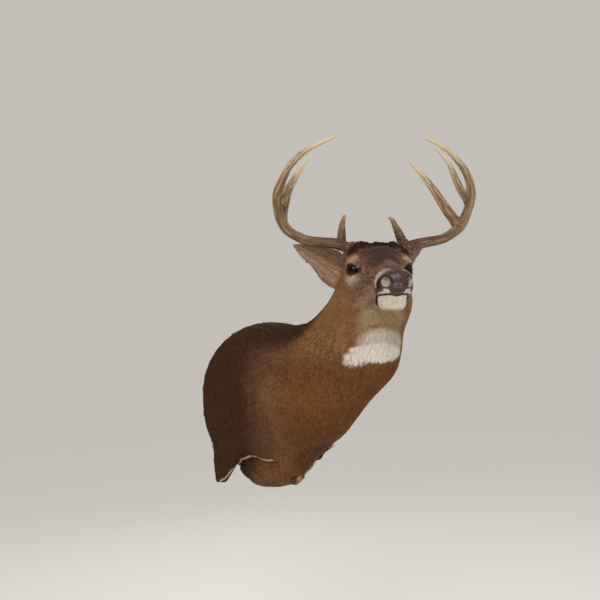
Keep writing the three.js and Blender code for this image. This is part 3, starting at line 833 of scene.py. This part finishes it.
# Longer on the crown, the ears' edges and the ragged brisket; none on bare skin, eyes and hem
crown = step(blob(folded_spots, (14, -48, 66), (46, 30, 26)), 1.2, 0.7)
fringe = inner_ear * on_ear * step(up_ear, 0.95, 0.7)
ragged = hump(points[:, 2] / mm, -168, 26) * step(points[:, 1], -0.02, -0.06)
scruff = step(blob(points / mm, (34, -165, -118), (60, 46, 46)), 1.1, 0.7)
corner_tuft = step(blob(points / mm, (14, -122, -178), (17, 30, 20)), 1.1, 0.6)
hair["length"] = np.minimum(hair["length"], 2.5 + 0.85 * hem_gap)
hair["length"] = hair["length"] + 8 * fringe + 8 * crown + 2 * ragged + 8 * corner_tuft
bumpy = 8 + 1.6 * np.sin(spots[:, 0] / 6.5 + 0.8) + 0.9 * np.sin(spots[:, 0] / 3.1 + 2.0)
hair["height"] = hair["height"] + 2 * fringe + bumpy * crown + 3 * scruff + 7 * corner_tuft
eye_socket = step(blob(folded_spots, (57, -6, 0), (30, 26, 24)), 0.8, 0.6)
furred = 1 - np.maximum(step(bare, 0.2, 0.6), eye_socket)
furred *= step(blob(folded_spots, (49, 20, -0.5), (12, 13, 5.6)), 0.9, 1.1)
hair["growth"] = hair["growth"] * np.where(lid_gap * near_eye < 3.5 * near_eye, 0, furred)
hair["growth"] = np.where((points[:, 1] > -3 * mm) | (hem > 0.25), 0, hair["growth"])

# A tuft's shape: its faces, the places of its corners in the bake map, and how far along it each
# corner lies; then how its waist and tip stand, as shares of its size, and its root's depth in mm
tuft_corners = 5
tuft_faces = np.array([(0, 1, 3), (0, 3, 2), (0, 2, 1), (1, 4, 3), (3, 4, 2), (2, 4, 1)])
size_in_map = 0.003
tuft_patch = np.array([(0, -0.5), (0.5, 0), (-0.5, 0), (0, 0.05), (0, 0.5)]) * size_in_map
tuft_along = (0.0, 0.5, 0.5, 0.6, 1.0)
waist_at, waist_rise, waist_ridge, tip_rise, root_deep = 0.42, 0.9, 0.3, 0.75, 0.8


def tufts(roots, up, way, length, width, height, drop):
    """Five corners for each tuft: its root, a three-cornered waist and its tip.

    drop is how far the hide falls away under the tip, so that the tuft lies along it.
    """
    side = np.cross(up, way)
    waist = roots + way * (waist_at * length) + up * (waist_rise * height - waist_at ** 2 * drop)
    tip = roots + way * length + up * (tip_rise * height - drop)
    return np.stack([roots - up * root_deep * mm, waist - side * width / 2,
                     waist + side * width / 2, waist + up * width * waist_ridge, tip], 1)


def around(rel, way, front):
    """How far round a line each point lies, from 0 to 1, starting away from front."""
    across = np.cross(way, front)
    return np.arctan2(rel @ across, rel @ unit(np.cross(across, way))) / (2 * pi) + 0.5


def rolled_out(start, end, front):
    """Unrolls the hide round a straight line: u runs round it and v along it."""
    way = unit(end - start)
    front = unit(front - way * (front @ way))

    def place(at):
        rel = at - start
        return np.stack([around(rel, way, front), rel @ way / np.linalg.norm(end - start)], 1)
    return place


chest_front, dome_deep, dome_wide = np.array((24, -292, -16)) * mm, 0.8, 0.95


def flattened_dome(at):
    """Spreads the hide of the shoulders on a disc, its middle at the front of the chest."""
    rel = at - chest_front
    out = np.hypot(rel[:, 0], rel[:, 2]) + dome_deep * rel[:, 1]
    angle = np.arctan2(rel[:, 2], rel[:, 0])
    return 0.5 + out[:, None] / dome_wide * np.stack([np.cos(angle), np.sin(angle)], 1)


# The coat is made in pieces, each with the way its part of the hide is laid flat
on_dome = ("shoulder_left", "shoulder_right", "back_left", "back_right", "breast")
chestward = np.array((0.0, -1.0, 0.0))
zone_maps = dict.fromkeys(on_dome, flattened_dome)
zone_maps["neck_lower"] = rolled_out(neck_foot, neck_top, chestward)
zone_maps["neck_upper"] = rolled_out(neck_foot, neck_top + (neck_top - neck_foot) * 0.4, chestward)
zone_maps["head"] = rolled_out(from_head((0, -120, 0)), from_head((0, 60, 0)), upward)
for name in ("face_left", "face_right"):
    zone_maps[name] = rolled_out(from_head((0, 10, -20)), from_head((0, 205, -40)), upward)
for name in ear_numbers:
    start, way, mouth, _ = ear_frame(name)
    zone_maps[name] = rolled_out(start + way * -0.03, start + way * 0.17, mouth)
zone_numbers = {name: number for number, name in enumerate(zone_maps)}


def halved(on_left, name):
    """The number of the left or the right piece with this name, for each point."""
    return np.where(on_left, zone_numbers[name + "_left"], zone_numbers[name + "_right"])


mid_line, back_from, breast_from = 10 * mm, 20 * mm, -170 * mm
left_side = points[:, 0] > mid_line
zone = np.where(points[:, 2] > back_from, halved(left_side, "back"), halved(left_side, "shoulder"))
zone = np.where(points[:, 1] < breast_from, zone_numbers["breast"], zone)
halfway_up = (points - (neck_foot + neck_top) / 2) @ down_neck < 0
on_neck = np.where(halfway_up, zone_numbers["neck_upper"], zone_numbers["neck_lower"])
zone = np.where(trunkness < 0.5, on_neck, zone)
head_or_face = np.where(spots[:, 1] > 15, halved(spots[:, 0] > 0, "face"), zone_numbers["head"])
zone = np.where(headness > 0.5, head_or_face, zone)
for name, number in ear_numbers.items():
    zone = np.where(owner == number, zone_numbers[name], zone)

# Roots are scattered over the hide's triangles by how thick the hair grows there
hide.calc_loop_triangles()
triangles = read(hide.loop_triangles, "vertices", 3, np.int32)
across_one, across_two = (points[triangles[:, k]] - points[triangles[:, 0]] for k in (1, 2))
area_cm2 = np.linalg.norm(np.cross(across_one, across_two), axis=1) / 2 * 1e4
expected = area_cm2 * hair["growth"][triangles].mean(1)
chance = np.random.default_rng(7)
number_here = np.floor(expected + chance.random(len(expected))).astype(int)
rooted_in = np.repeat(np.arange(len(triangles)), number_here)
share = chance.dirichlet((1, 1, 1), len(rooted_in))


def at_roots(values):
    """A value of the hide's points, read at each root."""
    found = values[triangles[rooted_in]]
    return (found * (share if values.ndim == 1 else share[:, :, None])).sum(1)


def tree_of(spots):
    """A tree that finds the nearest of these places."""
    tree = KDTree(len(spots))
    for k, spot in enumerate(spots):
        tree.insert(spot, k)
    tree.balance()
    return tree


def fall_of(tips):
    """How far each tip stands off the hide."""
    below = np.array([hide_tree.find(tip)[1] for tip in tips])
    return ((tips - points[below]) * normals[below]).sum(1)


# Each tuft follows the lie of the coat, with a slow swirl and a little scatter of its own
swirls_in_metre, swirl_turn, own_turn = 14, 0.16, 0.09
wild_share, wild_longer, wild_higher, wild_slimmer = 0.4, 1.4, 7 * mm, 0.6
roots = at_roots(points)
up = unit(at_roots(normals))
way = at_roots(lie)
swirl = np.array([noise.noise(Vector(p) * swirls_in_metre) for p in roots]) * swirl_turn
turn = swirl + chance.normal(0, own_turn, len(roots))
way = unit(way + np.cross(up, way) * turn[:, None])
way = unit(way - up * (way * up).sum(1)[:, None])
length = at_roots(hair["length"]) * mm * chance.uniform(0.7, 1.2, len(roots))
width = at_roots(hair["width"]) * mm * chance.uniform(0.7, 1.25, len(roots))
height = at_roots(hair["height"]) * mm * chance.uniform(0.55, 1.05, len(roots))
wild = chance.random(len(roots)) < at_roots(scruff) * wild_share
length = np.where(wild, length * wild_longer, length)
height = np.where(wild, height + wild_higher, height)
width = np.where(wild, width * wild_slimmer, width)

# Where the hide curves away, a tuft is shorter and bends down to it; none goes into the wall
fall_shared, shortest, most_lift, most_drop, off_wall = 6 * mm, 0.3, 4 * mm, 8 * mm, 0.6 * mm
hide_tree = tree_of(points)
fall = fall_of(roots + way * length[:, None])
length *= np.clip(1.3 - np.abs(fall) / fall_shared, shortest, 1)
drop = np.clip(fall_of(roots + way * length[:, None]), -most_lift, most_drop)
root_zone = zone[triangles[rooted_in, 0]]
shape = tufts(roots, up, way, length[:, None], width[:, None], height[:, None], drop[:, None])
shape[:, :, 1] = np.minimum(shape[:, :, 1], -off_wall)
shade = chance.random(len(roots))


def combed_hair():
    made, paper, feed = new_material("combed_hair", Roughness=0.85, Specular_IOR_Level=0.2)
    shade_here = paper.attribute("shade")
    along = paper.attribute("along")
    # Each tuft is brighter or darker at random, and darker towards its root: painted shade
    tone_and_root_shade = shade_here * 0.22 + along * 0.12 + 0.85
    tone = paper.node("Mix", {"data_type": "RGBA", "blend_type": "MULTIPLY"},
                      {0: 1.0, 6: hair_colour(paper), 7: tone_and_root_shade}, 2)
    own = paper.node("NewGeometry", out="Normal")
    lain = paper.attribute("under", "Vector")
    feed(Base_Color=(shade_here.rising(0.9, 1) * along * 0.18).mixed(tone, "a48a6e"),
         Normal=own.vector("ADD", lain).vector("NORMALIZE"))
    return made


hair_material = combed_hair()


def coat_piece(name, chosen, unrolled):
    """One piece of coat: the chosen tufts as one mesh, with its map for the bake."""
    count = len(chosen)
    mesh = bpy.data.meshes.new("coat_" + name)
    mesh.vertices.add(count * tuft_corners)
    mesh.vertices.foreach_set("co", shape[chosen].astype(np.float32).ravel())
    corner = (np.arange(count)[:, None, None] * tuft_corners + tuft_faces).ravel()
    mesh.loops.add(len(corner))
    mesh.loops.foreach_set("vertex_index", corner.astype(np.int32))
    mesh.polygons.add(len(corner) // 3)
    mesh.polygons.foreach_set("loop_start", np.arange(0, len(corner), 3, dtype=np.int32))
    mesh.update(calc_edges=True)
    patches = unrolled(roots[chosen])[:, None, None] * 0.98 + 0.01 + tuft_patch[tuft_faces]
    bake_map = mesh.uv_layers.new(name="OFBake")
    bake_map.data.foreach_set("uv", patches.astype(np.float32).ravel())
    for fact, values in hide_facts.items():
        remember(mesh, fact, np.repeat(at_roots(values)[chosen], tuft_corners, axis=0))
    remember(mesh, "shade", np.repeat(shade[chosen], tuft_corners))
    remember(mesh, "under", np.repeat(up[chosen], tuft_corners, axis=0))
    remember(mesh, "along", np.tile(tuft_along, count))
    new_piece("coat_" + name, mesh, hair_material)


for name, number in zone_numbers.items():
    coat_piece(name, np.flatnonzero(root_zone == number), zone_maps[name])


# ---------------------------------------------------------------- the antlers
# Hard bone on each side of the skull: a burr, one main beam and three tines, all one piece,
# dark and pearled at the foot, grooved along the beam and rubbed to ivory at the tips.

# Places on the beams and tines in the head's frame, the right antler's written in mirror image;
# each tine's radius at its root and tip, and how soon it turns pale
beam_lines = {
    "left": [(48, -34, 28), (60, -40, 48), (94, -60, 63), (134, -85, 73), (176, -100, 84),
             (213, -104, 111), (227, -88, 143), (228, -60, 176), (216, -30, 204), (191, 2, 230),
             (153, 30, 257), (122, 41, 273), (96, 46, 284)],
    "right": [(48, -34, 28), (58, -40, 48), (88, -60, 65), (131, -85, 73), (166, -100, 82),
              (204, -104, 106), (223, -88, 141), (227, -60, 175), (217, -30, 203), (198, 5, 233),
              (168, 32, 256), (134, 42, 273), (100, 46, 287)],
}
tine_lines = {
    "left": [[(66, -52, 64), (54, -46, 86), (45, -42, 104), (38, -44, 118), (27, -48, 128)],
             [(212, -103, 113), (188, -120, 154), (169, -148, 201), (145, -180, 252), (117, -208, 294)],
             [(227, -72, 166), (212, -88, 200), (200, -102, 240), (187, -114, 276), (162, -122, 308)]],
    "right": [[(80, -58, 62), (79, -50, 86), (78, -46, 106), (75, -44, 121), (70, -46, 135)],
              [(214, -103, 122), (207, -120, 164), (197, -148, 203), (181, -175, 239), (158, -196, 273)],
              [(223, -74, 162), (208, -84, 190), (191, -96, 219), (172, -104, 251), (152, -112, 279)]],
}
tine_sizes = {"left": [(11, 2), (12.5, 3), (9.5, 2.5)], "right": [(11, 2), (9, 2.5), (9.5, 2.5)]}
tine_paling = (2.4, 0.8, 0.8)
beam_root, beam_middle, beam_tip, thinning_at = 13, 10.5, 3, 0.55
burr_at, burr_radius, burr_high = 0.055, 20, 8
bone_net, lost_in_smoothing = 1.3, 0.3
pearl_high, burr_pearl_high, groove_deep = 3.2, 5.0, 1.1


def smooth_line(spots, count):
    """Evenly spaced places along a smooth curve through the given ones."""
    p = np.array(spots, float)
    p = np.vstack([2 * p[0] - p[1], p, 2 * p[-1] - p[-2]])
    t = np.linspace(0, 1, 24, endpoint=False)[:, None]
    dense = []
    for a, b, c, d in zip(p, p[1:], p[2:], p[3:]):
        dense.append(0.5 * (2 * b + (c - a) * t + (2 * a - 5 * b + 4 * c - d) * t ** 2
                            + (3 * b - a - 3 * c + d) * t ** 3))
    dense = np.vstack([*dense, p[-2:-1]])
    gone = np.concatenate([[0], np.cumsum(np.linalg.norm(np.diff(dense, axis=0), axis=1))])
    even = np.linspace(0, gone[-1], count)
    return np.stack([np.interp(even, gone, dense[:, axis]) for axis in range(3)], 1)


def framed(line):
    """The direction of a line at each place, and two directions square to it that don't twist."""
    ways = unit(np.gradient(line, axis=0))
    across = [unit(np.cross(ways[0], (0.3, 0.5, 0.8)))]
    for way_here in ways[1:]:
        across.append(unit(across[-1] - way_here * (across[-1] @ way_here)))
    across = np.array(across)
    return ways, across, np.cross(ways, across)


def rod(net, line, radii, sides=24):
    """Adds a round rod along a line to a mesh, closed at both ends."""
    _, across, other = framed(line)
    turns = np.linspace(0, 2 * pi, sides, endpoint=False)
    rings = [[net.verts.new(middle + radius * (a * cos(turn) + b * sin(turn))) for turn in turns]
             for middle, radius, a, b in zip(line, radii, across, other)]
    for ring, following in zip(rings, rings[1:]):
        for k in range(sides):
            net.faces.new((ring[k], ring[k - 1], following[k - 1], following[k]))
    net.faces.new(rings[0])
    net.faces.new(rings[-1][::-1])


def beam_radius(t):
    """The beam's radius along it; it swells where the tines leave."""
    past = np.clip((t - thinning_at) / (1 - thinning_at), 0, 1)
    plain = np.where(t < thinning_at, beam_root + (beam_middle - beam_root) * t / thinning_at,
                     beam_middle + (beam_tip - beam_middle) * past ** 1.3)
    return plain + 1.6 * hump(t, 0.43, 0.05) + 1.2 * hump(t, 0.60, 0.05)


def antler_bone():
    made, paper, feed = new_material("antler_bone", Specular_IOR_Level=0.4)
    grown = paper.attribute("grown")
    hollow_here = paper.attribute("hollow")
    place = paper.attribute("place", "Vector")
    stain = place.grain(0.03, 4)
    speck = place.grain(0.5, 4)
    aged = grown + stain * 0.3 - 0.15
    tone = aged.rising(0.0, 0.25).mixed("41261a", "6e4e39")
    tone = aged.rising(0.18, 0.45).mixed(tone, "957a58")
    tone = aged.rising(0.55, 0.95).mixed(tone, "ccb998")
    tone = (hollow_here.rising(0.45, 0.9) * 0.6).mixed(tone, "40260f")
    tone = (hollow_here.rising(0.35, 0.05) * 0.4).mixed(tone, "b3966c")
    tone = (speck.rising(0.5, 0.8) * 0.3).mixed(tone, "4b301d")
    feed(Base_Color=tone, Roughness=speck * 0.3 + 0.38,
         Normal=paper.bump(speck, 0.0006, 0.5))
    return made


antler_material = antler_bone()
for name, side in (("left", 1), ("right", -1)):
    flip = np.array((side, 1, 1))
    beam = smooth_line(np.array(beam_lines[name]) * flip, 260)
    t = np.linspace(0, 1, len(beam))
    lines, radii, grown = [beam], [beam_radius(t)], [t]
    for spots_here, sizes, paling in zip(tine_lines[name], tine_sizes[name], tine_paling):
        root_size, tip_size = sizes
        line = smooth_line(np.array(spots_here) * flip, 120)
        s = np.linspace(0, 1, len(line))
        lines.append(line)
        radii.append(root_size + (tip_size - root_size) * s ** 1.7 + 2.0 * hump(s, 0, 0.07))
        start_t = t[np.linalg.norm(beam - line[0], axis=1).argmin()]
        grown.append(start_t + (1 - start_t) * s ** paling)
    net = bmesh.new()
    for line, radius in zip(lines, radii):
        rod(net, line, radius + lost_in_smoothing)
    at_burr = int(burr_at * len(beam))
    foot = beam[at_burr]
    lean = unit(beam[at_burr + 3] - foot)
    turned = Vector((0, 0, 1)).rotation_difference(Vector(lean)).to_matrix().to_4x4()
    flattened = Matrix.Diagonal((burr_radius, burr_radius, burr_high, 1))
    bmesh.ops.create_uvsphere(net, u_segments=36, v_segments=18, radius=1,
                              matrix=Matrix.Translation(foot) @ turned @ flattened)
    bone = remeshed(mesh_from(net, "antler"), bone_net)
    at, bone_edges = net_of(bone)
    at = relaxed(at, bone_edges, 10, 0.5)
    out = put(bone, at)

    # Grooves run along the bone, and pearls stand on its lower part
    centre = np.vstack(lines)
    centre_across, centre_other = (np.vstack([framed(line)[k] for line in lines]) for k in (1, 2))
    centre_grown = np.concatenate(grown)
    centre_tree = tree_of(centre)
    nearest = np.array([centre_tree.find(p)[1] for p in at])
    grown_here = centre_grown[nearest]
    around_here = np.stack([(out * centre_across[nearest]).sum(1) * 2.6,
                            (out * centre_other[nearest]).sum(1) * 2.6, grown_here * 9], 1)
    streak = np.array([noise.noise(Vector(p)) for p in around_here])
    pearl = np.array([noise.noise(Vector(p) * 0.33) for p in at])
    low_down = step(grown_here, 0.30, 0.04)
    burr_near = step(np.abs((at - foot) @ lean), 9, 3) * step(grown_here, 0.12, 0.08)
    pearl_height = np.clip(pearl - 0.05, 0, 1) * (pearl_high * low_down + burr_pearl_high * burr_near)
    groove_depth = np.clip(np.abs(streak) * 2.4, 0, 1)
    fade = step(grown_here, 1.0, 0.75) * 0.9 + 0.1
    at = at + out * (pearl_height - (1 - groove_depth) ** 3 * groove_deep * fade)[:, None]
    at = relaxed(at, bone_edges, 1, 0.2)
    placed = head_middle + at @ head_axes.T * mm
    put(bone, placed)
    bone.flip_normals()
    remember(bone, "grown", grown_here)
    remember(bone, "hollow", np.clip((1 - groove_depth) * fade + 0.25 - pearl_height * 0.25, 0, 1))
    remember(bone, "place", placed / mm)
    antler_piece = new_piece("antler_" + name, bone, antler_material)
    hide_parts(*(f"antler_{name}_{part}" for part in (
        "base", "middle", "tip", "brow_tine", "second_tine", "third_tine")))


# ---------------------------------------------------------------- the studio
# A pale floor well below the mount, a soft key light by the camera, a fill and a back light.
# The camera stands in front of the wall, to the deer's right.

floor_level, reach = cad_box[0][2] - 0.9, 40.0
floor_mesh = bpy.data.meshes.new("floor")
floor_mesh.from_pydata([(-reach, -reach, floor_level), (reach, -reach, floor_level),
                        (reach, reach, floor_level), (-reach, reach, floor_level)], [], [(0, 1, 2, 3)])
floor_paint, _, _ = new_material("floor", Base_Color=colour("fdfdfc"), Roughness=1.0)
floor_mesh.materials.append(floor_paint)
new_object("floor", floor_mesh)

scene = bpy.context.scene
world = bpy.data.worlds.new("studio")
world.use_nodes = True
backdrop = world.node_tree.nodes["Background"]
backdrop.inputs["Color"].default_value = colour("e2dcd4")
backdrop.inputs["Strength"].default_value = 0.72
scene.world = world

camera_at = Vector((-0.650, -1.470, 0.137))
heading_way, pitch, roll = radians(27), radians(4.1), radians(2.75)
camera_data = bpy.data.cameras.new("camera")
camera_data.sensor_width = 36
camera_data.lens = 37.2
camera_data.clip_end = 100
camera = new_object("camera", camera_data)
camera.matrix_world = (Matrix.Translation(camera_at) @ Matrix.Rotation(-heading_way, 4, "Z")
                       @ Matrix.Rotation(pi / 2 + pitch, 4, "X") @ Matrix.Rotation(-roll, 4, "Z"))
scene.camera = camera


def soft_light(name, at, aim, size, power, tint):
    data = bpy.data.lights.new(name, "AREA")
    data.size = size
    data.energy = power
    data.color = tint
    light = new_object(name, data)
    light.location = at
    light.rotation_euler = (Vector(aim) - Vector(at)).to_track_quat("-Z", "Y").to_euler()


soft_light("key", (-1.6, -2.2, 1.5), (0.0, -0.2, 0.1), 1.2, 46, (1.0, 0.96, 0.9))
soft_light("fill", (1.8, -1.8, 0.6), (0.0, -0.2, 0.1), 1.6, 14, (0.95, 0.97, 1.0))
soft_light("back", (0.6, 2.2, 1.6), (0.0, -0.1, 0.2), 1.6, 16, (1.0, 1.0, 1.0))
scene.view_settings.view_transform = "Standard"
